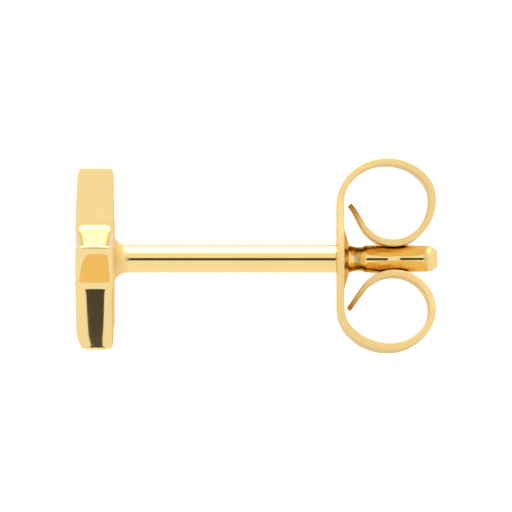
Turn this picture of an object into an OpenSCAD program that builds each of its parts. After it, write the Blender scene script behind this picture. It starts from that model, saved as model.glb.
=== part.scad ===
// Star stud earring with a butterfly clutch, lying on its side as it rests by itself.
// The post runs along X from the star at the low end. One point of the star looks up.
// The origin is under the middle of the whole, on the surface that it lies on.

/* [Star] */
// Distance from the middle of the star to the end of a point
star_reach = 2.81; // [2.6:0.01:2.9]
// Thickness of the star at its middle
star_t = 1.14; // [1:0.01:1.4]
// Angle between a point's side and its own middle line
point_angle = 24.25; // [22:0.25:26]
// Radius of the rounded end of a point
point_r = 0.08; // [0.06:0.01:0.12]
// Radius of the hollow between two points
notch_r = 0.3; // [0.2:0.01:0.4]
// Radius of the rounded edge round the front
front_edge_r = 0.18; // [0.12:0.01:0.3]
// Radius of the rounded edge round the back
back_edge_r = 0.16; // [0.1:0.01:0.3]
// Fall of the domed front from the middle to the end of a point
dome_fall = 0.08; // [0.02:0.01:0.15]

/* [Post] */
// Diameter of the post
post_d = 0.81; // [0.78:0.01:0.84]
// Distance of the post from the middle of the star's back, as it was soldered on
post_off = 0.12; // [0:0.01:0.15]
// Diameter that the post has tapered to where its rounded tip begins
post_end_d = 0.77; // [0.7:0.01:0.78]
// Distance from the star to where the taper begins
taper_x = 6.4; // [6:0.05:6.4]
// Length of the post behind the star
post_l = 9.38; // [9.3:0.02:10.2]
// Radius of the solder fillet where the post meets the star
fillet_r = 0.36; // [0.25:0.01:0.42]
// Distance from the star to the middle of the grip groove
groove_x = 7.06; // [7.02:0.01:7.4]
// Width of the grip groove
groove_w = 0.52; // [0.4:0.01:0.6]
// Depth of the grip groove
groove_depth = 0.06; // [0.03:0.01:0.08]
// Length of the rounded tip
tip_l = 0.35; // [0.3:0.01:0.45]
// Radius of the flat end of the tip
tip_end_r = 0.23; // [0.18:0.01:0.26]

/* [Clutch] */
// Distance from the star to the clutch's side that meets the ear
clutch_x = 6.45; // [6.3:0.01:6.5]
// Angle that the clutch is turned about the post, as it was pushed on
clutch_turn = 7.6; // [0:0.1:8]
// Thickness of the bent strip
strip_t = 0.2; // [0.17:0.01:0.22]
// Length on each side of the hole over which the plate's edges bulge
bulge_l = 1.95; // [1.8:0.05:2.4]
// Width of the strip where the bulge ends
shoulder_w = 3.9; // [3.6:0.05:4.1]
// Width of the strip at the far turn of the scrolls
turn_w = 3.3; // [3:0.05:3.3]
// Width of the tongues where their ends begin to narrow
tongue_w = 2.4; // [2.2:0.05:2.8]
// Width of the blunt end of a tongue
tongue_end_w = 1.6; // [1.2:0.05:2]
// Length over which the end of a tongue narrows
tongue_end_l = 1; // [0.8:0.05:1.2]
// Straight run of the plate from the hole to the upper scroll
upper_run = 1.59; // [1.57:0.01:1.65]
// Straight run of the plate from the hole to the lower scroll
lower_run = 1.42; // [1.4:0.01:1.5]
// Radial gap between the post and the clutch
grip_gap = 0.03; // [0.02:0.01:0.05]
// Radius of the raised dimple round the hole, where it leaves the plate
dimple_r = 1; // [0.85:0.01:1.1]
// Height of the dimple over the plate
dimple_h = 0.15; // [0.12:0.01:0.22]

/* [Hidden] */

gold = "#f0c060";
$fn = 96;

// Columns of a scroll's table: bend radius, turn in degrees, straight run after the bend.
// A turn below 0 bends back out.
BEND_R = 0;
TURN = 1;
RUN = 2;
upper_scroll = [
    [1.12, 45, 0],
    [1.43, 45, 0],
    [1.46, 45, 0],
    [0.97, 45, 0],
    [1.32, 45, 0],
    [1.06, 45, 0],
    [1.01, 61, 0.45],
    [1.06, -14, 0],
];
lower_scroll = [
    [1.02, 45, 0],
    [1.55, 45, 0],
    [1.38, 45, 0],
    [0.96, 45, 0],
    [1.04, 45, 0],
    [1.14, 45, 0],
    [1.10, 55, 0.68],
];
// Bends that a scroll has passed when it is furthest from the hole, and furthest from the ear
AT_TOP = 2;
AT_TURN = 4;

// Facets on the end of a point, in a notch, over an edge, and on the narrowing end of a tongue
point_steps = 8;
notch_steps = 8;
edge_steps = 5;
tongue_steps = 8;
// Longest step along the strip
strip_step = 0.09;
// Part of the way out from the middle of each inner ring of the domed front
dome_rings = [1 / 3, 2 / 3];

points = 5;
sector = 360 / points;
// The side of a point faces this far from the point's own middle line
side_turn = 90 - point_angle;
point_c = star_reach - point_r;
// Distance of each side's line from the middle of the star
side_h = point_c * sin(point_angle) + point_r;
notch_c = (side_h + notch_r) / sin(sector / 2 + point_angle);
least_point_r = 0.02;

post_r = post_d / 2;
post_end_r = post_end_d / 2;
// The fillet's arc reaches a little into the star, so that it meets the back at an angle
fillet_sink = 0.02;
fillet_end = fillet_r - fillet_sink;
root_r = post_r + fillet_r;
// How far the post's root reaches into the star
root_depth = 0.4;
tip_x = post_l - tip_l;
// The tip's arc leaves the post along its axis and ends at the rim of the flat end
tip_drop = post_end_r - tip_end_r;
tip_arc_r = (tip_l ^ 2 + tip_drop ^ 2) / (2 * tip_drop);
groove_arc_r = ((groove_w / 2) ^ 2 + groove_depth ^ 2) / (2 * groove_depth);

grip_r = post_r + grip_gap;
plate_x = clutch_x + strip_t / 2;
// The lowest two points of the star and the plate's edge carry the earring, at this height
rest_h = point_c * cos(sector / 2) + point_r;
// Width of the dimple's flat rim round the hole
dimple_rim = 0.03;
// The hollow of the dimple on the ear's side
hollow_r = 0.85;
hollow_depth = 0.16;
// Extra length or radius of a shape that cuts, past what it cuts
slack = 0.5;

top_y = scroll_at(upper_scroll, upper_run, scroll_l(upper_scroll, upper_run, AT_TOP)).y + strip_t / 2;
low_y = scroll_at(lower_scroll, lower_run, scroll_l(lower_scroll, lower_run, AT_TOP)).y + strip_t / 2;
// Place of the post's axis at the star's back
place = [(star_t - post_l) / 2, (low_y - top_y) / 2 * cos(clutch_turn), rest_h];

function dir(a) = [cos(a), sin(a)];

function between(from, to, part) = from + (to - from) * part;

// Length of one bend's arc
function bend_l(row) = row[BEND_R] * abs(row[TURN]) * PI / 180;

// Length of a scroll from the hole to the end of its first so many bends
function scroll_l(rows, run, bends, k = 0) =
    k == bends ? run : bend_l(rows[k]) + rows[k][RUN] + scroll_l(rows, run, bends, k + 1);

// The place after a length of a bend, for a start and heading, as [x, y, heading]
function bend_at(row, at, heading, l) =
    let (
        side = sign(row[TURN]),
        turned = heading - side * l / row[BEND_R] * 180 / PI
    )
    concat(at + side * row[BEND_R] * (dir(heading - 90) - dir(turned - 90)), [turned]);

// The place at a length along the middle line of a scroll that starts up from the hole
function scroll_at(rows, run, l) =
    l <= run ? [plate_x, l, 90] : bends_at(rows, [plate_x, run], 90, l - run);

function bends_at(rows, at, heading, l, k = 0) =
    let (
        row = rows[k],
        turned = bend_at(row, at, heading, min(l, bend_l(row))),
        run = k == len(rows) - 1 ? l - bend_l(row) : min(l - bend_l(row), row[RUN]),
        left = l - bend_l(row) - row[RUN],
        passed = [turned.x, turned.y] + max(run, 0) * dir(turned.z)
    )
    left > 0 && k < len(rows) - 1
        ? bends_at(rows, passed, turned.z, left, k + 1)
        : concat(passed, [turned.z]);

// Direction in the star's plane as [y, z], at an angle from the top point
function ray(a) = [sin(a), cos(a)];

// The rounded end of the point at angle a, with the outline pulled in by d
function point_arc(a, d) =
    let (
        r = max(point_r - d, least_point_r),
        c = (side_h - d - r) / sin(point_angle)
    )
    [for (i = [0:point_steps]) c * ray(a) + r * ray(a + side_turn * (2 * i / point_steps - 1))];

// The hollow after the point at angle a, with the outline pulled in by d
function notch_arc(a, d) =
    let (last = sector - side_turn)
    [for (i = [0:notch_steps])
        let (facing = a + side_turn + (last - side_turn) * i / notch_steps)
        notch_c * ray(a + sector / 2) - (notch_r + d) * ray(facing)];

function star_outline(d) =
    [for (k = [0:points - 1]) each concat(point_arc(k * sector, d), notch_arc(k * sector, d))];

function front_x(p) = dome_fall * (norm(p) / star_reach) ^ 2 - star_t;

// Rings of the star from the front's middle, round its edges, to the back's middle
function front_ring(part) =
    [for (p = star_outline(front_edge_r)) [front_x(part * p), part * p.x, part * p.y]];
function front_edge_ring(a) =
    [for (p = star_outline(front_edge_r * (1 - cos(a))))
        [front_x(p) + front_edge_r * (1 - sin(a)), p.x, p.y]];
function back_edge_ring(a) =
    [for (p = star_outline(back_edge_r * (1 - cos(a)))) [-back_edge_r * (1 - sin(a)), p.x, p.y]];

module star_plate() {
    rings = concat(
        [for (part = dome_rings) front_ring(part)],
        [for (i = [edge_steps:-1:0]) front_edge_ring(90 * i / edge_steps)],
        [for (i = [0:edge_steps]) back_edge_ring(90 * i / edge_steps)]
    );
    n = len(rings[0]);
    front = len(rings) * n;
    back = front + 1;
    last = front - n;
    polyhedron(
        points = concat([for (ring = rings) each ring], [[-star_t, 0, 0], [0, 0, 0]]),
        faces = concat(
            [for (i = [0:n - 1]) [front, (i + 1) % n, i]],
            [for (k = [0:len(rings) - 2], i = [0:n - 1])
                let (a = k * n + i, b = k * n + (i + 1) % n)
                each [[a, b, b + n], [a, b + n, a + n]]],
            [for (i = [0:n - 1]) [back, last + i, last + (i + 1) % n]]
        )
    );
}

// Half sections of the post as [radius, distance from the star]
module solder_fillet_section() {
    difference() {
        translate([0, -root_depth])
            square([root_r, root_depth + fillet_end]);
        translate([root_r, fillet_end])
            circle(fillet_r);
    }
}

module post_shaft_section() {
    groove_r = between(post_r, post_end_r, (groove_x - taper_x) / (tip_x - taper_x)) - groove_depth;
    difference() {
        polygon([
            [0, fillet_end],
            [post_r, fillet_end],
            [post_r, taper_x],
            [post_end_r, tip_x],
            [0, tip_x],
        ]);
        translate([groove_r + groove_arc_r, groove_x])
            circle(groove_arc_r);
    }
}

module post_tip_section() {
    intersection() {
        translate([0, tip_x])
            square([post_r, tip_l]);
        translate([post_end_r - tip_arc_r, tip_x])
            circle(tip_arc_r);
    }
}

module post() {
    rotate([0, 90, 0])
        rotate_extrude() {
            solder_fillet_section();
            post_shaft_section();
            post_tip_section();
        }
}

module star_stud() {
    color(gold)
        translate(place) {
            translate([0, -post_off, 0])
                star_plate();
            post();
        }
}

// Half of the strip's width at a length from the hole
function half_width(l, turn_l, whole) =
    let (left = whole - l)
    l < bulge_l
        ? between(shoulder_w / 2, rest_h, (1 + cos(180 * l / bulge_l)) / 2)
        : l < turn_l
            ? between(shoulder_w, turn_w, (l - bulge_l) / (turn_l - bulge_l)) / 2
            : left > tongue_end_l
                ? between(turn_w, tongue_w, (l - turn_l) / (whole - tongue_end_l - turn_l)) / 2
                : between(tongue_w, tongue_end_w, (1 - left / tongue_end_l) ^ 2) / 2;

// Cross sections of the strip from the hole to a tongue's end, four corners each.
// The side of a scroll is 1 for the upper one and -1 for the lower one.
function scroll_sections(rows, run, side) =
    let (
        turn_l = scroll_l(rows, run, AT_TURN),
        whole = scroll_l(rows, run, len(rows)),
        even_l = whole - tongue_end_l,
        steps = ceil(even_l / strip_step),
        lengths = concat(
            [for (i = [1:steps]) even_l * i / steps],
            [for (i = [1:tongue_steps]) even_l + tongue_end_l * i / tongue_steps]
        )
    )
    [for (l = lengths)
        let (
            at = scroll_at(rows, run, l),
            w = half_width(l, turn_l, whole),
            out = strip_t / 2 * dir(at.z + 90),
            outer = [at.x + out.x, side * (at.y + out.y)],
            inner = [at.x - out.x, side * (at.y - out.y)]
        )
        [concat(outer, [w]), concat(outer, [-w]), concat(inner, [-w]), concat(inner, [w])]];

module bent_strip() {
    upper = scroll_sections(upper_scroll, upper_run, 1);
    lower = scroll_sections(lower_scroll, lower_run, -1);
    sections = concat([for (i = [len(lower) - 1:-1:0]) lower[i]], upper);
    last = 4 * (len(sections) - 1);
    polyhedron(
        points = [for (section = sections) each section],
        faces = concat(
            [[3, 2, 1, 0], [last, last + 1, last + 2, last + 3]],
            [for (k = [0:len(sections) - 2], i = [0:3])
                let (a = 4 * k + i, b = 4 * k + (i + 1) % 4)
                each [[a, b, b + 4], [a, b + 4, a + 4]]]
        )
    );
}

module dimple() {
    translate([plate_x, 0, 0])
        rotate([0, 90, 0])
            rotate_extrude()
                polygon([
                    [0, 0],
                    [dimple_r, 0],
                    [dimple_r, strip_t / 2],
                    [grip_r + dimple_rim, strip_t / 2 + dimple_h],
                    [0, strip_t / 2 + dimple_h],
                ]);
}

module dimple_hollow() {
    translate([clutch_x, 0, 0])
        rotate([0, 90, 0])
            cylinder(r1 = hollow_r, r2 = post_r, h = hollow_depth);
}

// The hole in the plate and the channel that the post has in both tongues
module grip_channel() {
    translate([clutch_x - slack, 0, 0])
        rotate([0, 90, 0])
            cylinder(r = grip_r, h = post_l - clutch_x + 2 * slack);
}

module butterfly_clutch() {
    color(gold)
        translate(place)
            rotate([clutch_turn, 0, 0])
                difference() {
                    union() {
                        bent_strip();
                        dimple();
                    }
                    dimple_hollow();
                    grip_channel();
                }
}

star_stud();
butterfly_clutch();
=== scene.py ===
import math

import bmesh
import bpy
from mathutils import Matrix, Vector


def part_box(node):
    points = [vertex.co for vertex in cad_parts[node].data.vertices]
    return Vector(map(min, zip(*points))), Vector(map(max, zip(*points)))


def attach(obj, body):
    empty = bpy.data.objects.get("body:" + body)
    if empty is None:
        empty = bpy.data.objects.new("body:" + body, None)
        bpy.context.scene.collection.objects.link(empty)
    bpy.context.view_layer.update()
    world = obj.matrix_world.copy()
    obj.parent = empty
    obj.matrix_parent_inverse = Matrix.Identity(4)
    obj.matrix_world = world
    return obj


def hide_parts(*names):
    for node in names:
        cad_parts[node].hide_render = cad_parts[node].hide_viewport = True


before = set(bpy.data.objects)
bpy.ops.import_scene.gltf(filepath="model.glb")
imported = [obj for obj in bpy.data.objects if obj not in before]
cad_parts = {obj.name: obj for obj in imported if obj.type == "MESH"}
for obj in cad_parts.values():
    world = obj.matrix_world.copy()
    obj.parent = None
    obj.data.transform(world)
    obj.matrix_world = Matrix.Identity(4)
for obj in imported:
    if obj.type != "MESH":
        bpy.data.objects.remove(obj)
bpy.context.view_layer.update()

# A polished gold star stud and its butterfly clutch, lying on a pale floor.
# Sizes are in millimetres from where the post's axis meets the star's back: x runs along the post,
# y across it and z up, the way one point of the star looks. Angles are in degrees.
MM = 0.001
UM = 0.000001
STUD = "star_stud"
CLUTCH = "butterfly_clutch"

# Star
POINTS = 5
STAR_REACH = 2.81
STAR_T = 1.14
POINT_ANGLE = 24.25
POINT_R = 0.08
LEAST_POINT_R = 0.02
NOTCH_R = 0.3
FRONT_EDGE_R = 0.13
BACK_EDGE_R = 0.11
DOME_FALL = 0.08
# The front of the point towards -Y is worn down from this far out
WORN_FALL = 0.1
WORN_FROM = 2.15
WORN_L = 0.55
# How far the polished side wall stands out in its middle, between the rounded edges.
# The side of the near point that looks towards -Y is nearly flat.
WALL_CROWN = 0.057
FLAT_CROWN = 0.015
CROWN_POWER = 3
# Part of the thickness at which the wall stands out most, from the back
CROWN_AT = 0.52
# Rise of a point's long sides in their middle: they are polished a little hollow
SIDE_CROWN = -0.007
# The upper side of the point towards +Y is more hollow: it dips from its notch at this slope, up to
# this part of its length, and rises again to the point's end
DIP_SLOPE = 0.07
DIP_AT = 0.65

# Post, which stands a little off the star's middle
POST_OFF = 0.12
POST_L = 9.38
POST_R = 0.405
POST_END_R = 0.385
TAPER_X = 6.4
FILLET_R = 0.37
GROOVE_X = 7.06
GROOVE_W = 0.52
GROOVE_DEPTH = 0.06
TIP_L = 0.35
TIP_END_R = 0.23
TIP_RIM_R = 0.05
# The post's end is bent aside a little where the clutch grips it
JOG_X = 7.9
JOG_L = 0.4
JOG_Y = 0.015
JOG_Z = -0.05

# Clutch: a strip that starts at its hole and curls up and down into two scrolls
CLUTCH_TURN = 7.6
STRIP_T = 0.2
STRIP_EDGE_R = 0.03
# The tongues are pressed thinner over their last stretch, to this part of the strip's thickness
THIN_L = 1.6
THIN_PART = 0.66
BULGE_L = 1.95
SHOULDER_W = 3.9
TURN_W = 3.3
TONGUE_W = 2.4
# A tongue narrows to a blunt end with rounded corners
TONGUE_END_W = 1.6
TONGUE_END_L = 1.0
CORNER_R = 0.25
GRIP_R = 0.435
# Thickness that a tongue keeps at least where the post has its channel
CHANNEL_T = 0.07
DIMPLE_R = 1.0
DIMPLE_H = 0.15
DIMPLE_LIP_R = 0.465
# Part of the dimple's slope over which it eases out of the plate
DIMPLE_EASE = 0.12
# The scrolls open a little towards the floor
SPLAY = 0.0068
UPPER_RUN = 1.59
LOWER_RUN = 1.42
# Rows of a scroll: bend radius, turn, straight run after the bend. A turn below 0 bends back out.
UPPER_SCROLL = (
    (1.12, 45, 0),
    (1.43, 45, 0),
    (1.46, 45, 0),
    (0.97, 45, 0),
    (1.32, 45, 0),
    (1.06, 45, 0),
    (1.01, 61, 0.45),
    (1.06, -14, 0),
)
LOWER_SCROLL = (
    (1.02, 45, 0),
    (1.55, 45, 0),
    (1.38, 45, 0),
    (0.96, 45, 0),
    (1.04, 45, 0),
    (1.14, 45, 0),
    (1.10, 55, 0.68),
)
# Bends that a scroll has passed at its far turn
AT_TURN = 4

# Steps of the meshes
POINT_STEPS = 16
SIDE_STEPS = 14
# The first step from a point's end along its side, as a part of the side
NEAR_TIP = 0.015
NOTCH_STEPS = 16
DOME_STEPS = 10
WALL_STEPS = 7
EDGE_STEPS = 12
BACK_STEPS = 8
FILLET_STEPS = 14
POST_STEPS = 24
TAPER_STEPS = 64
TIP_STEPS = 12
RIM_STEPS = 4
ACROSS_STEPS = 32
# Parts of the strip's half width: the steps across are even out to the first, and one more line
# beside each rim lies at the second
EVEN_ACROSS = 0.96
RIM_ACROSS = 0.985
TONGUE_STEPS = 14
HOLE_RINGS = 18
# The rings lie closer together towards the hole, by this power
HOLE_RING_POWER = 1.4
STRIP_STEP = 0.07
# Half length of the plate's stretch that is laid in rings round the hole, and steps along it
HOLE_L = 1.2
HOLE_STEPS = 30
CORNER_STEPS = 6
# The last facing of a tongue's round corner, just short of straight along the strip
CORNER_LAST = 86
# Rings on the flat end of the post, as parts of its radius
END_RINGS = (0.6, 0.25)
WELD = 0.00001

# The strip's materials, by their place on its mesh: on its faces and on its cut edges
ON_FACES = 0
ON_EDGES = 1

sector = 360 / POINTS
# The sides of a point face this far from its middle line, and lie this far from the star's middle
side_turn = 90 - POINT_ANGLE
side_h = (STAR_REACH - POINT_R) * math.sin(math.radians(POINT_ANGLE)) + POINT_R
# Distance of the centre of a notch's arc from the star's middle
notch_c = (side_h + NOTCH_R) / math.sin(math.radians(sector / 2 + POINT_ANGLE))
outline_steps = POINTS * (POINT_STEPS + NOTCH_STEPS + 2 * SIDE_STEPS)

# The post's axis at the star's back, in metres, and the middle of the plate's thickness
stud_low, stud_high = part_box(STUD)
clutch_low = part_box(CLUTCH)[0]
root = Vector((
    stud_low[0] + STAR_T * MM,
    (stud_low[1] + stud_high[1]) / 2 + POST_OFF * MM,
    stud_high[2] - STAR_REACH * MM,
))
plate_x = (clutch_low[0] - root.x) / MM + STRIP_T / 2


def placed(x, y, z):
    """A point of the earring in metres, in the part's frame."""
    return root + Vector((x, y, z)) * MM


def blend(low, high, part):
    return low + (high - low) * part


def eased(part):
    """From 0 to 1 with a soft start and end, and even before and after."""
    t = min(max(part, 0), 1)
    return t * t * (3 - 2 * t)


# Star and post: rings of equal count from the middle of the front to the end of the post


def ray(angle):
    """Direction in the star's plane as (y, z), at an angle from the point that looks up."""
    a = math.radians(angle)
    return Vector((math.sin(a), math.cos(a)))


def long_side(start, end, facing, ways, dip=0):
    """Points strictly between the ends of a point's side, which is crowned a little."""
    points = []
    for t in ways:
        fall = dip * (end - start).length * min(t, (1 - t) * DIP_AT / (1 - DIP_AT))
        points.append(start.lerp(end, t) + ray(facing) * (4 * SIDE_CROWN * t * (1 - t) - fall))
    return points


def star_outline(inset):
    """The star's outline pulled in by inset, as (y, z)."""
    r = max(POINT_R - inset, LEAST_POINT_R)
    c = (side_h - inset - r) / math.sin(math.radians(POINT_ANGLE))
    from_tip = [NEAR_TIP] + [i / SIDE_STEPS for i in range(2, SIDE_STEPS)]
    to_tip = [1 - way for way in reversed(from_tip)]
    outline = []
    for k in range(POINTS):
        a = k * sector
        turns = [side_turn * (2 * i / POINT_STEPS - 1) for i in range(POINT_STEPS + 1)]
        tip = [c * ray(a) + r * ray(a + turn) for turn in turns]
        ways = [i / NOTCH_STEPS for i in range(NOTCH_STEPS + 1)]
        facings = [a + blend(side_turn, sector - side_turn, way) for way in ways]
        middle = notch_c * ray(a + sector / 2)
        hollow = [middle - (NOTCH_R + inset) * ray(facing) for facing in facings]
        next_tip = c * ray(a + sector) + r * ray(a + sector - side_turn)
        dip = 0 if k else DIP_SLOPE
        outline += tip + long_side(tip[-1], hollow[0], a + side_turn, from_tip)
        outline += hollow + long_side(hollow[-1], next_tip, a + sector - side_turn, to_tip, dip)
    return outline


def circle_outline(r):
    """A circle with as many points as the star's outline, which faces it point by point."""
    return [r * ray(360 * (i - POINT_STEPS / 2) / outline_steps) for i in range(outline_steps)]


def flatness(i):
    """1 on the side of the near point that looks towards -Y, 0 past its tip and its hollow."""
    past_tip = (i + outline_steps / 2) % outline_steps - outline_steps / 2
    from_hollow = eased((past_tip + SIDE_STEPS + NOTCH_STEPS) / NOTCH_STEPS)
    return from_hollow * eased(1 - past_tip / POINT_STEPS)


def wall_outline(rounding, way):
    """The outline of the side wall: way 0 is mid-wall and 1 the face."""
    crowned = star_outline(rounding + WALL_CROWN * way**CROWN_POWER)
    flat = star_outline(rounding + FLAT_CROWN * way**CROWN_POWER)
    return [a.lerp(b, flatness(i)) for i, (a, b) in enumerate(zip(crowned, flat))]


def front_x(p):
    """The front's place at (y, z): it is domed, and worn at the point towards -Y."""
    worn = WORN_FALL * eased((-p.x - WORN_FROM) / WORN_L)
    return DOME_FALL * (p.length / STAR_REACH) ** 2 + worn - STAR_T


def edge_profile(edge_r):
    """Half of the side wall as (rounding, way)."""
    edge_way = 2 * edge_r / STAR_T
    profile = [(0, (1 - edge_way) * i / WALL_STEPS) for i in range(WALL_STEPS)]
    for i in range(EDGE_STEPS + 1):
        turn = math.radians(90 * i / EDGE_STEPS)
        profile.append((edge_r * (1 - math.cos(turn)), 1 - edge_way * (1 - math.sin(turn))))
    return profile


def star_rings():
    """The front and the side wall, round the star's own middle."""
    rings = []
    for i in range(1, DOME_STEPS):
        part = i / DOME_STEPS
        rings.append([(front_x(part * p), *(part * p)) for p in wall_outline(FRONT_EDGE_R, 1)])
    for rounding, way in reversed(edge_profile(FRONT_EDGE_R)):
        part = blend(CROWN_AT, 1, way)
        rings.append([(front_x(p) * part, *p) for p in wall_outline(rounding, way)])
    for rounding, way in edge_profile(BACK_EDGE_R)[1:]:
        part = CROWN_AT * (1 - way)
        rings.append([(front_x(p) * part, *p) for p in wall_outline(rounding, way)])
    return [[(x, y - POST_OFF, z) for x, y, z in ring] for ring in rings]


def back_rings():
    """From the back's rim to the foot of the fillet."""
    rim = [p - Vector((POST_OFF, 0)) for p in wall_outline(BACK_EDGE_R, 1)]
    foot = circle_outline(POST_R + FILLET_R)
    ways = [i / BACK_STEPS for i in range(1, BACK_STEPS)]
    return [[(0, *a.lerp(b, way)) for a, b in zip(rim, foot)] for way in ways]


def taper_r(x):
    """Radius of the post behind its straight stretch, with the grip groove."""
    way = min(abs(x - GROOVE_X) / GROOVE_W, 0.5)
    groove = GROOVE_DEPTH * math.cos(math.pi * way) ** 2
    return blend(POST_R, POST_END_R, (x - TAPER_X) / (POST_L - TIP_L - TAPER_X)) - groove


def post_profile():
    """The post from the foot of its fillet to its flat end, as (x, radius)."""
    turns = [math.radians(90 * (1 - i / FILLET_STEPS)) for i in range(FILLET_STEPS + 1)]
    fillet_c = POST_R + FILLET_R
    fillet = [(FILLET_R * (1 - math.sin(t)), fillet_c - FILLET_R * math.cos(t)) for t in turns]
    straight = [(blend(FILLET_R, TAPER_X, i / POST_STEPS), POST_R) for i in range(1, POST_STEPS)]
    tip_x = POST_L - TIP_L
    xs = [blend(TAPER_X, tip_x, i / TAPER_STEPS) for i in range(TAPER_STEPS + 1)]
    tapered = [(x, taper_r(x)) for x in xs]
    drop = POST_END_R - TIP_END_R
    arc_r = (TIP_L**2 + drop**2) / (2 * drop)
    last = math.asin((TIP_L - TIP_RIM_R) / arc_r)
    turns = [last * i / TIP_STEPS for i in range(1, TIP_STEPS + 1)]
    tip = [(tip_x + arc_r * math.sin(t), POST_END_R - arc_r * (1 - math.cos(t))) for t in turns]
    rim_x = POST_L - TIP_RIM_R
    rim_c = tip[-1][1] - TIP_RIM_R
    turns = [math.radians(90 * i / RIM_STEPS) for i in range(1, RIM_STEPS + 1)]
    rim = [(rim_x + TIP_RIM_R * math.sin(t), rim_c + TIP_RIM_R * math.cos(t)) for t in turns]
    end = [(POST_L, rim_c * part) for part in END_RINGS]
    return fillet + straight + tapered + tip + rim + end


def post_rings():
    """The post's rings, which leave its axis a little at the bent end."""
    rings = []
    for x, r in post_profile():
        aside = eased((x - JOG_X) / JOG_L) * Vector((JOG_Y, JOG_Z))
        rings.append([(x, *(p + aside)) for p in circle_outline(r)])
    return rings


def ring_shell(rings, start, end):
    """A closed shell over rings, with a fan from the start and one to the end."""
    bm = bmesh.new()
    uv = bm.loops.layers.uv.new("UVMap")
    loops = [[bm.verts.new(placed(*p)) for p in ring] for ring in rings]
    first = bm.verts.new(placed(*start))
    last = bm.verts.new(placed(*end))
    count = len(loops[0])
    rows = len(loops)

    def face(corners):
        """A face from corners of (vertex, place along its ring, ring)."""
        made = bm.faces.new([vert for vert, _, _ in corners])
        for loop, (_, u, v) in zip(made.loops, corners):
            loop[uv].uv = (u / count, v / rows)

    for i in range(count):
        j = (i + 1) % count
        face([(first, i + 0.5, 0), (loops[0][j], i + 1, 0), (loops[0][i], i, 0)])
        face([(last, i + 0.5, rows), (loops[-1][i], i, rows), (loops[-1][j], i + 1, rows)])
        for k, (a, b) in enumerate(zip(loops, loops[1:])):
            face([(a[i], i, k), (a[j], i + 1, k), (b[j], i + 1, k + 1), (b[i], i, k + 1)])
    return bm


def shown(bm, name, materials):
    """An object from a finished mesh, smooth all over."""
    bmesh.ops.recalc_face_normals(bm, faces=bm.faces)
    for face in bm.faces:
        face.smooth = True
    mesh = bpy.data.meshes.new(name)
    bm.to_mesh(mesh)
    bm.free()
    for material in materials:
        mesh.materials.append(material)
    piece = bpy.data.objects.new(name, mesh)
    bpy.context.scene.collection.objects.link(piece)
    return piece


# Clutch: a flat blank with round edges, laid out along and across the strip and bent as it is made


def direction(angle):
    """Direction in the plane of the post and the strip's length, at an angle from the post."""
    a = math.radians(angle)
    return Vector((math.cos(a), math.sin(a)))


def bend_l(row):
    """Length of one bend's arc."""
    return row[0] * math.radians(abs(row[1]))


def scroll_l(rows, run, bends):
    """Length from the hole to the end of a scroll's first bends."""
    return run + sum(bend_l(row) + row[2] for row in rows[:bends])


def scroll_at(rows, run, length):
    """Place and heading of the strip's middle at a length from the hole, as ((x, y), heading)."""
    at = Vector((plate_x, min(length, run)))
    heading = 90
    left = length - run
    for i, (bend_r, turn, after) in enumerate(rows):
        if left <= 0:
            break
        side = math.copysign(1, turn)
        bent = min(left, bend_l((bend_r, turn)))
        turned = heading - side * math.degrees(bent / bend_r)
        at += side * bend_r * (direction(heading - 90) - direction(turned - 90))
        heading = turned
        left -= bent
        straight = left if i == len(rows) - 1 else min(left, after)
        at += direction(heading) * straight
        left -= straight
    return at, heading


def scroll_of(s):
    """The table, run and side of the scroll that a signed length lies on."""
    return (UPPER_SCROLL, UPPER_RUN, 1) if s >= 0 else (LOWER_SCROLL, LOWER_RUN, -1)


def dimple_lift(r):
    """Rise of the plate at a distance from the middle of its hole."""
    way = max(DIMPLE_R - r, 0) / (DIMPLE_R - DIMPLE_LIP_R)
    eased_in = min(way, DIMPLE_EASE)
    rise = way - eased_in + eased_in**2 / (2 * DIMPLE_EASE)
    return DIMPLE_H * rise / (1 - DIMPLE_EASE / 2)


def strip_point(s, z, d):
    """A point of the strip, s along it from the hole, z across it and d out of its middle."""
    rows, run, side = scroll_of(s)
    length = abs(s)
    (x, y), heading = scroll_at(rows, run, length)
    pressed = (length - scroll_l(rows, run, len(rows))) / THIN_L + 1
    out = direction(heading + 90) * d * blend(1, THIN_PART, max(pressed, 0))
    x += out.x + dimple_lift(math.hypot(s, z))
    y += out.y
    if length > scroll_l(rows, run, AT_TURN):
        # The channel that the post has in the tongue
        channel = (GRIP_R + CHANNEL_T * (0.5 - d / STRIP_T)) ** 2 - z * z
        y = max(y, math.sqrt(max(channel, 0)))
    y *= side * (1 - SPLAY * z)
    sin, cos = math.sin(math.radians(CLUTCH_TURN)), math.cos(math.radians(CLUTCH_TURN))
    return placed(x, y * cos - z * sin, y * sin + z * cos)


def plate_half(length):
    """Half of the plate's width, which bulges round the hole so that its edge meets the floor."""
    return blend(SHOULDER_W / 2, root.z / MM, (1 + math.cos(math.pi * length / BULGE_L)) / 2)


def strip_half(length, turn_l, even_l):
    """Half of the strip's width between the hole and the tongue's narrowing end."""
    if length < BULGE_L:
        return plate_half(length)
    if length < turn_l:
        return blend(SHOULDER_W, TURN_W, (length - BULGE_L) / (turn_l - BULGE_L)) / 2
    return blend(TURN_W, TONGUE_W, (length - turn_l) / (even_l - turn_l)) / 2


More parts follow.
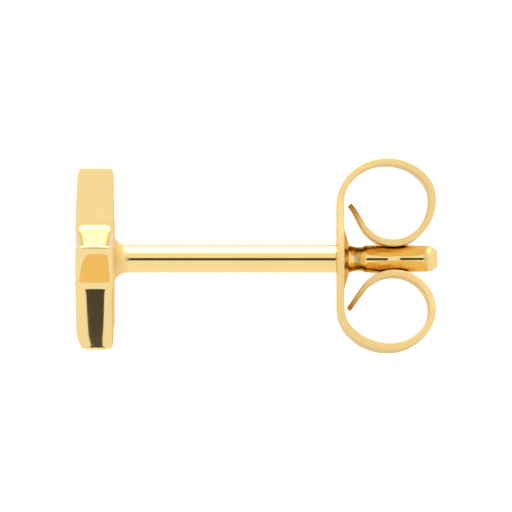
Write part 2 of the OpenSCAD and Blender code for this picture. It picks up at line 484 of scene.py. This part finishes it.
def scroll_edges(rows, run):
    """Sections past the hole's stretch, each a function from an inset to (length, half width)."""
    turn_l = scroll_l(rows, run, AT_TURN)
    slope = math.atan((TONGUE_W - TONGUE_END_W) / TONGUE_END_L)
    corner_l = scroll_l(rows, run, len(rows)) - CORNER_R
    corner_w = TONGUE_END_W / 2 - CORNER_R * math.cos(slope)
    end_l = corner_l + CORNER_R * math.sin(slope)
    even_l = end_l - TONGUE_END_L

    def straight(length):
        half = strip_half(length, turn_l, even_l)
        return lambda inset: (length, half - inset)

    def facing(length, half, turn):
        """A section whose rim faces this far from straight across."""
        return lambda inset: (length - inset * math.sin(turn), half - inset * math.cos(turn))

    def narrowed(part):
        half = blend(TONGUE_W, TONGUE_END_W, part * part) / 2
        return facing(blend(even_l, end_l, part), half, math.atan(part * math.tan(slope)))

    def corner(turn):
        length = corner_l + CORNER_R * math.sin(turn)
        return facing(length, corner_w + CORNER_R * math.cos(turn), turn)

    steps = math.ceil((even_l - HOLE_L) / STRIP_STEP)
    edges = [straight(blend(HOLE_L, even_l, i / steps)) for i in range(steps + 1)]
    edges += [narrowed(i / TONGUE_STEPS) for i in range(1, TONGUE_STEPS + 1)]
    last = math.radians(CORNER_LAST)
    turns = [blend(slope, last, i / CORNER_STEPS) for i in range(1, CORNER_STEPS + 1)]
    return edges + [corner(turn) for turn in turns]


def hole_edges():
    """Sections along the hole's stretch, the same but at signed lengths."""
    lengths = [HOLE_L * (2 * i / HOLE_STEPS - 1) for i in range(HOLE_STEPS + 1)]
    return [lambda inset, s=s: (s, plate_half(s) - inset) for s in lengths]


def rim_profile():
    """A cut edge from one face to the other, as (inset, offset from the middle)."""
    r = STRIP_EDGE_R
    turns = [math.radians(90 * i / RIM_STEPS) for i in range(RIM_STEPS + 1)]
    upper = [(r * (1 - math.sin(t)), STRIP_T / 2 - r * (1 - math.cos(t))) for t in turns]
    return upper + [(inset, -d) for inset, d in reversed(upper)]


def across(half):
    """Places across a face of this half width, closer together beside its rims."""
    even = [EVEN_ACROSS * (2 * i / ACROSS_STEPS - 1) for i in range(ACROSS_STEPS + 1)]
    return [half * way for way in [-1, -RIM_ACROSS, *even, RIM_ACROSS, 1]]


def lay(bm, rows, material_index, closed=False):
    """Faces between rows of points (s, z, d) of the strip."""
    uv = bm.loops.layers.uv.verify()
    if closed:
        rows = rows + rows[:1]
    made = [[bm.verts.new(strip_point(*p)) for p in row] for row in rows]
    for k in range(len(rows) - 1):
        for i in range(len(rows[k]) - 1):
            corners = ((k, i), (k, i + 1), (k + 1, i + 1), (k + 1, i))
            face = bm.faces.new([made[a][b] for a, b in corners])
            face.material_index = material_index
            for loop, (a, b) in zip(face.loops, corners):
                s, z, d = rows[a][b]
                loop[uv].uv = (s, z + d)


def hole_boundary():
    """The rim of the hole's stretch of a face, once round, as (s, z)."""
    edges = hole_edges()
    low = [(s, -w) for s, w in (edge(STRIP_EDGE_R) for edge in edges)]
    high = [(s, w) for s, w in (edge(STRIP_EDGE_R) for edge in reversed(edges))]
    end = [(HOLE_L, z) for z in across(high[0][1])]
    start = [(-HOLE_L, z) for z in reversed(across(high[-1][1]))]
    return low + end[1:-1] + high + start[1:-1]


def hole_rings(d):
    """Rings of a face from its hole to the rim of the hole's stretch."""
    rings = []
    for i in range(HOLE_RINGS + 1):
        part = (i / HOLE_RINGS) ** HOLE_RING_POWER
        ring = []
        for s, z in hole_boundary():
            inner = (GRIP_R + STRIP_EDGE_R) / math.hypot(s, z)
            scale = blend(inner, 1, part)
            ring.append((s * scale, z * scale, d))
        rings.append(ring + ring[:1])
    return rings


def hole_rim():
    """The hole's cut edge, once round."""
    rows = []
    for s, z in hole_boundary():
        sin, cos = s / math.hypot(s, z), z / math.hypot(s, z)
        rims = [(GRIP_R + inset, d) for inset, d in rim_profile()]
        rows.append([(r * sin, r * cos, d) for r, d in rims])
    return rows


def clutch_shell():
    bm = bmesh.new()
    faces = (STRIP_T / 2, -STRIP_T / 2)
    upper = scroll_edges(UPPER_SCROLL, UPPER_RUN)
    lower = scroll_edges(LOWER_SCROLL, LOWER_RUN)
    for sign, edges in ((1, upper), (-1, lower)):
        for d in faces:
            sections = [edge(STRIP_EDGE_R) for edge in edges]
            lay(bm, [[(sign * s, z, d) for z in across(w)] for s, w in sections], ON_FACES)
        for way in (1, -1):
            rows = [[(edge(inset), d) for inset, d in rim_profile()] for edge in edges]
            lay(bm, [[(sign * s, way * w, d) for (s, w), d in row] for row in rows], ON_EDGES)
        close_end(bm, sign, edges[-1])
    for way in (1, -1):
        rows = [[(edge(inset), d) for inset, d in rim_profile()] for edge in hole_edges()]
        lay(bm, [[(s, way * w, d) for (s, w), d in row] for row in rows], ON_EDGES)
    for d in faces:
        lay(bm, hole_rings(d), ON_FACES)
    lay(bm, hole_rim(), ON_EDGES, closed=True)
    bmesh.ops.remove_doubles(bm, verts=bm.verts, dist=WELD * MM)
    return bm


def close_end(bm, sign, edge):
    """The small flat at the very end of a tongue."""
    profile = [(*edge(inset), d) for inset, d in rim_profile()]
    s, w = edge(STRIP_EDGE_R)
    faces = across(w)
    loop = [(sign * s, z, STRIP_T / 2) for z in faces]
    loop += [(sign * s, w, d) for s, w, d in profile[1:]]
    loop += [(sign * s, z, -STRIP_T / 2) for z in reversed(faces[:-1])]
    loop += [(sign * s, -w, d) for s, w, d in reversed(profile[1:-1])]
    face = bm.faces.new([bm.verts.new(strip_point(*p)) for p in loop])
    face.material_index = ON_EDGES


# Materials

GOLD_DEEP = (0.90, 0.67, 0.29)
GOLD_LIGHT = (0.94, 0.71, 0.32)
# Tint of the stud and of the strip where they are seen at a grazing angle
STUD_GRAZING = (1, 1, 1)
STRIP_GRAZING = (0.95, 0.78, 0.42)
# Noise in the gold's tone, in how well it is wiped and in its fine marks: marks per mm, and levels
# of detail
TONE_GRAIN = 0.6
TONE_DETAIL = 3
WIPE_GRAIN = 1.5
WIPE_DETAIL = 6
MARK_DETAIL = 4
# Extra roughness along the stud, and the painted shade that darkens its groove, by the distance
# behind the star
STUD_SATIN = (
    (-0.05, 0),
    (-0.01, 0.6),
    (0.2, 0.6),
    (0.5, 0),
    (6.92, 0),
    (6.96, 0.25),
    (7.13, 0.25),
    (7.17, 0),
    (8.92, 0),
    (9.0, 0.3),
)
# Painted shade: how far the groove's colour is darkened towards a dull tone, standing in for the
# shade in that recess
GROOVE_PAINTED_SHADE = (
    (6.93, 0),
    (6.97, 0.8),
    (7.12, 0.8),
    (7.16, 0),
)
# Painted shade: the dull dark tone mixed into the groove's gold
GROOVE_SHADE_TONE = (0.5, 0.42, 0.22)
FLOOR_WHITE = (0.9, 0.9, 0.89)
FLOOR_ROUGHNESS = 0.9
FLOOR_GLOSS = 0.1
# The paper's tooth: marks per mm, levels of detail, and height in thousandths of a millimetre
TOOTH_GRAIN = 9
TOOTH_DETAIL = 2
TOOTH_UM = 4
# The even light that comes back from the dark round front of the camera
LENS_LIGHT = 0.075


def new_material(name):
    material = bpy.data.materials.new(name)
    material.use_nodes = True
    return material


def shader_of(material):
    return material.node_tree.nodes["Principled BSDF"]


def noise(material, grain, detail):
    """A noise over the piece, from 0 to 1, with this many marks per mm."""
    nodes = material.node_tree.nodes
    coords = nodes.new("ShaderNodeTexCoord")
    texture = nodes.new("ShaderNodeTexNoise")
    texture.inputs["Scale"].default_value = grain / MM
    texture.inputs["Detail"].default_value = detail
    material.node_tree.links.new(coords.outputs["Object"], texture.inputs["Vector"])
    return texture.outputs["Fac"]


def add_bump(material, marks, height_um):
    """Raises the surface by the marks, up to a height in thousandths of a millimetre."""
    links = material.node_tree.links
    bump = material.node_tree.nodes.new("ShaderNodeBump")
    bump.inputs["Distance"].default_value = height_um * UM
    links.new(marks, bump.inputs["Height"])
    links.new(bump.outputs["Normal"], shader_of(material).inputs["Normal"])


def set_stops(ramp, tones):
    """Gives a colour ramp its stops, as (position, grey tone)."""
    stops = ramp.color_ramp.elements
    while len(stops) < len(tones):
        stops.new(1)
    for stop, (at, tone) in zip(stops, tones):
        stop.position = at
        stop.color = (tone, tone, tone, 1)


def gold(name, grazing, roughness, rough_spread, bump_um, grain):
    """Yellow gold. Its tone and roughness vary, and fine marks raise it, grain of them per mm."""
    material = new_material(name)
    shader = shader_of(material)
    nodes = material.node_tree.nodes
    links = material.node_tree.links
    shader.inputs["Metallic"].default_value = 1
    shader.inputs["Specular Tint"].default_value = (*grazing, 1)
    tint = nodes.new("ShaderNodeValToRGB")
    tint.color_ramp.elements[0].color = (*GOLD_DEEP, 1)
    tint.color_ramp.elements[1].color = (*GOLD_LIGHT, 1)
    links.new(noise(material, TONE_GRAIN, TONE_DETAIL), tint.inputs["Fac"])
    links.new(tint.outputs["Color"], shader.inputs["Base Color"])
    rough = nodes.new("ShaderNodeMapRange")
    rough.inputs["To Min"].default_value = roughness - rough_spread
    rough.inputs["To Max"].default_value = roughness + rough_spread
    links.new(noise(material, WIPE_GRAIN, WIPE_DETAIL), rough.inputs["Value"])
    links.new(rough.outputs["Result"], shader.inputs["Roughness"])
    add_bump(material, noise(material, grain, MARK_DETAIL), bump_um)
    return material


def along_post(material, stops):
    """A value by the place along the post, from stops of (distance behind the star, value)."""
    nodes = material.node_tree.nodes
    links = material.node_tree.links
    coords = nodes.new("ShaderNodeTexCoord")
    place = nodes.new("ShaderNodeSeparateXYZ")
    links.new(coords.outputs["Object"], place.inputs["Vector"])
    along = nodes.new("ShaderNodeMapRange")
    along.inputs["From Min"].default_value = placed(-STAR_T, 0, 0).x
    along.inputs["From Max"].default_value = placed(POST_L, 0, 0).x
    links.new(place.outputs["X"], along.inputs["Value"])
    value = nodes.new("ShaderNodeValToRGB")
    set_stops(value, [((x + STAR_T) / (POST_L + STAR_T), tone) for x, tone in stops])
    links.new(along.outputs["Result"], value.inputs["Fac"])
    return value.outputs["Color"]


def add_satin_and_groove_shade(material):
    """Makes the stud satin at its fillet and its tip, and satin in its groove, where painted shade
    darkens its colour.
    """
    nodes = material.node_tree.nodes
    links = material.node_tree.links
    shader = shader_of(material)
    rough = nodes.new("ShaderNodeMath")
    links.new(shader.inputs["Roughness"].links[0].from_socket, rough.inputs[0])
    links.new(along_post(material, STUD_SATIN), rough.inputs[1])
    links.new(rough.outputs["Value"], shader.inputs["Roughness"])
    # Painted shade in the groove: its colour is mixed towards a dull dark tone
    groove_shade = nodes.new("ShaderNodeMix")
    groove_shade.data_type = "RGBA"
    groove_shade.inputs["B"].default_value = (*GROOVE_SHADE_TONE, 1)
    links.new(along_post(material, GROOVE_PAINTED_SHADE), groove_shade.inputs["Factor"])
    links.new(shader.inputs["Base Color"].links[0].from_socket, groove_shade.inputs["A"])
    links.new(groove_shade.outputs["Result"], shader.inputs["Base Color"])


def paper(name, colour):
    """A matte pale sheet with a faint tooth."""
    material = new_material(name)
    shader = shader_of(material)
    shader.inputs["Base Color"].default_value = (*colour, 1)
    shader.inputs["Roughness"].default_value = FLOOR_ROUGHNESS
    shader.inputs["Specular IOR Level"].default_value = FLOOR_GLOSS
    add_bump(material, noise(material, TOOTH_GRAIN, TOOTH_DETAIL), TOOTH_UM)
    return material


def dark_glass(name):
    """An even dark tone, which the lights don't change."""
    material = new_material(name)
    shader = shader_of(material)
    shader.inputs["Base Color"].default_value = (0, 0, 0, 1)
    shader.inputs["Roughness"].default_value = 1
    shader.inputs["Specular IOR Level"].default_value = 0
    shader.inputs["Emission Color"].default_value = (1, 1, 1, 1)
    shader.inputs["Emission Strength"].default_value = LENS_LIGHT
    return material


# Camera, nearly straight above: the post runs across the picture. VIEW_X and VIEW_UP are the place
# of the picture's middle along the post and up the picture from it, and VIEW_W is its width.

CAMERA_D = 240
CAMERA_TILT = 9.1
VIEW_X = 4.108
VIEW_UP = 0.084
VIEW_W = 14.848
SENSOR_W = 36
CLIP_START = 24

# Studio: a soft surround whose brightness goes by the angle from the camera, turned about the
# post's line towards +Y. It is plain past the ends of its long light, along the post's line. An end
# fades between two sines of the angle out of the plane across the post.
SKY = (
    (-180, 0.72),
    (-162, 0.72),
    (-150, 0.93),
    (-120, 1.03),
    (39, 1.0),
    (43, 1.07),
    (48, 1.25),
    (57, 1.8),
    (64, 4.0),
    (72, 4.2),
    (80, 3.2),
    (117, 2.9),
    (124, 1.2),
    (135, 0.8),
    (180, 0.95),
)
PLAIN_SKY = 1.0
LIGHT_END = (0.15, 0.4)
FLOOR_W = 3000
# The soft light that falls on the floor from round the camera
FILL_LIGHT = 2.6
FILL_W = 80
FILL_D = 700
# The dark round front of the camera, which polished metal mirrors
LENS_R = 46
LENS_D = 252
LENS_DROP = 2.9
LENS_STEPS = 64


def towards(angle):
    """A direction at an angle from upright, turned about the post's line towards +Y."""
    a = math.radians(angle)
    return Vector((0, math.sin(a), math.cos(a)))


def view_middle():
    """The place in the middle of the picture."""
    return placed(VIEW_X, 0, 0) + towards(90 - CAMERA_TILT) * VIEW_UP * MM


def add_camera():
    data = bpy.data.cameras.new("camera")
    data.sensor_width = SENSOR_W
    data.lens = SENSOR_W * CAMERA_D / VIEW_W
    data.clip_start = CLIP_START * MM
    data.clip_end = FLOOR_W * MM
    camera = bpy.data.objects.new("camera", data)
    camera.location = view_middle() + towards(-CAMERA_TILT) * CAMERA_D * MM
    camera.rotation_euler = (math.radians(CAMERA_TILT), 0, 0)
    bpy.context.scene.collection.objects.link(camera)
    bpy.context.scene.camera = camera


def stage_sheet(name, outline, material):
    """A flat sheet that isn't part of the earring."""
    mesh = bpy.data.meshes.new(name)
    mesh.from_pydata(outline, [], [range(len(outline))])
    mesh.materials.append(material)
    sheet = bpy.data.objects.new(name, mesh)
    bpy.context.scene.collection.objects.link(sheet)
    return sheet


def add_floor():
    """The floor, which the metal doesn't mirror: the surround from below stands for it."""
    half = FLOOR_W * MM / 2
    corners = [(-half, -half, 0), (half, -half, 0), (half, half, 0), (-half, half, 0)]
    floor = stage_sheet("floor", corners, paper("floor_paper", FLOOR_WHITE))
    floor.visible_glossy = False


def add_lens():
    """The camera's front, a little below the line of sight. It casts no shadow."""
    turns = [math.tau * i / LENS_STEPS for i in range(LENS_STEPS)]
    rim = [(LENS_R * MM * math.cos(t), LENS_R * MM * math.sin(t), 0) for t in turns]
    lens = stage_sheet("lens", rim, dark_glass("lens_glass"))
    angle = -CAMERA_TILT - LENS_DROP
    lens.location = view_middle() + towards(angle) * LENS_D * MM
    lens.rotation_euler = (math.radians(-angle), 0, 0)
    lens.visible_diffuse = False
    lens.visible_shadow = False


def add_fill():
    """An even square light on the floor, which the metal doesn't mirror."""
    data = bpy.data.lights.new("fill", "AREA")
    data.size = FILL_W * MM
    # The power that makes a white floor this bright from this distance
    data.energy = FILL_LIGHT * (math.pi * FILL_D * MM) ** 2
    fill = bpy.data.objects.new("fill", data)
    fill.location = view_middle() + towards(-CAMERA_TILT) * FILL_D * MM
    fill.rotation_euler = (math.radians(CAMERA_TILT), 0, 0)
    fill.visible_glossy = False
    bpy.context.scene.collection.objects.link(fill)


def sky_tone(world, parts, peak):
    """The surround's tone by its angle from the camera, as a part of the peak."""
    nodes = world.node_tree.nodes
    links = world.node_tree.links
    angle = nodes.new("ShaderNodeMath")
    angle.operation = "ARCTAN2"
    links.new(parts.outputs["Y"], angle.inputs[0])
    links.new(parts.outputs["Z"], angle.inputs[1])
    way = nodes.new("ShaderNodeMapRange")
    way.inputs["From Min"].default_value = math.radians(-180 - CAMERA_TILT)
    way.inputs["From Max"].default_value = math.radians(180 - CAMERA_TILT)
    links.new(angle.outputs["Value"], way.inputs["Value"])
    tones = nodes.new("ShaderNodeValToRGB")
    set_stops(tones, [((at + 180) / 360, tone / peak) for at, tone in SKY])
    links.new(way.outputs["Result"], tones.inputs["Fac"])
    return tones.outputs["Color"]


def past_light_end(world, parts):
    """0 along the long light and 1 past its ends."""
    nodes = world.node_tree.nodes
    links = world.node_tree.links
    aside = nodes.new("ShaderNodeMath")
    aside.operation = "ABSOLUTE"
    links.new(parts.outputs["X"], aside.inputs[0])
    past = nodes.new("ShaderNodeMapRange")
    past.interpolation_type = "SMOOTHSTEP"
    past.inputs["From Min"].default_value, past.inputs["From Max"].default_value = LIGHT_END
    links.new(aside.outputs["Value"], past.inputs["Value"])
    return past.outputs["Result"]


def add_sky():
    world = bpy.data.worlds.new("studio")
    world.use_nodes = True
    nodes = world.node_tree.nodes
    links = world.node_tree.links
    coords = nodes.new("ShaderNodeTexCoord")
    parts = nodes.new("ShaderNodeSeparateXYZ")
    links.new(coords.outputs["Generated"], parts.inputs["Vector"])
    peak = max(tone for _, tone in SKY)
    plain = PLAIN_SKY / peak
    mix = nodes.new("ShaderNodeMix")
    mix.data_type = "RGBA"
    mix.inputs["B"].default_value = (plain, plain, plain, 1)
    links.new(past_light_end(world, parts), mix.inputs["Factor"])
    links.new(sky_tone(world, parts, peak), mix.inputs["A"])
    background = nodes["Background"]
    background.inputs["Strength"].default_value = peak
    links.new(mix.outputs["Result"], background.inputs["Color"])
    bpy.context.scene.world = world


add_camera()
add_floor()
add_lens()
add_fill()
add_sky()

polished = gold(
    "polished_gold", STUD_GRAZING, roughness=0.055, rough_spread=0.02, bump_um=0.6, grain=2.5
)
add_satin_and_groove_shade(polished)
spring = gold(
    "spring_gold", STRIP_GRAZING, roughness=0.27, rough_spread=0.04, bump_um=0.8, grain=4
)
stamped = gold(
    "stamped_edge", STRIP_GRAZING, roughness=0.55, rough_spread=0.06, bump_um=1.5, grain=12
)

front_middle = (-STAR_T, -POST_OFF, 0)
post_end = (POST_L, JOG_Y, JOG_Z)
stud_shell = ring_shell(star_rings() + back_rings() + post_rings(), front_middle, post_end)
stud = shown(stud_shell, "stud_polished", [polished])
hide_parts(STUD)
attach(stud, "stud")

clutch = shown(clutch_shell(), "clutch_strip", [spring, stamped])
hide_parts(CLUTCH)
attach(clutch, "clutch")

bpy.context.scene.view_settings.view_transform = "Standard"
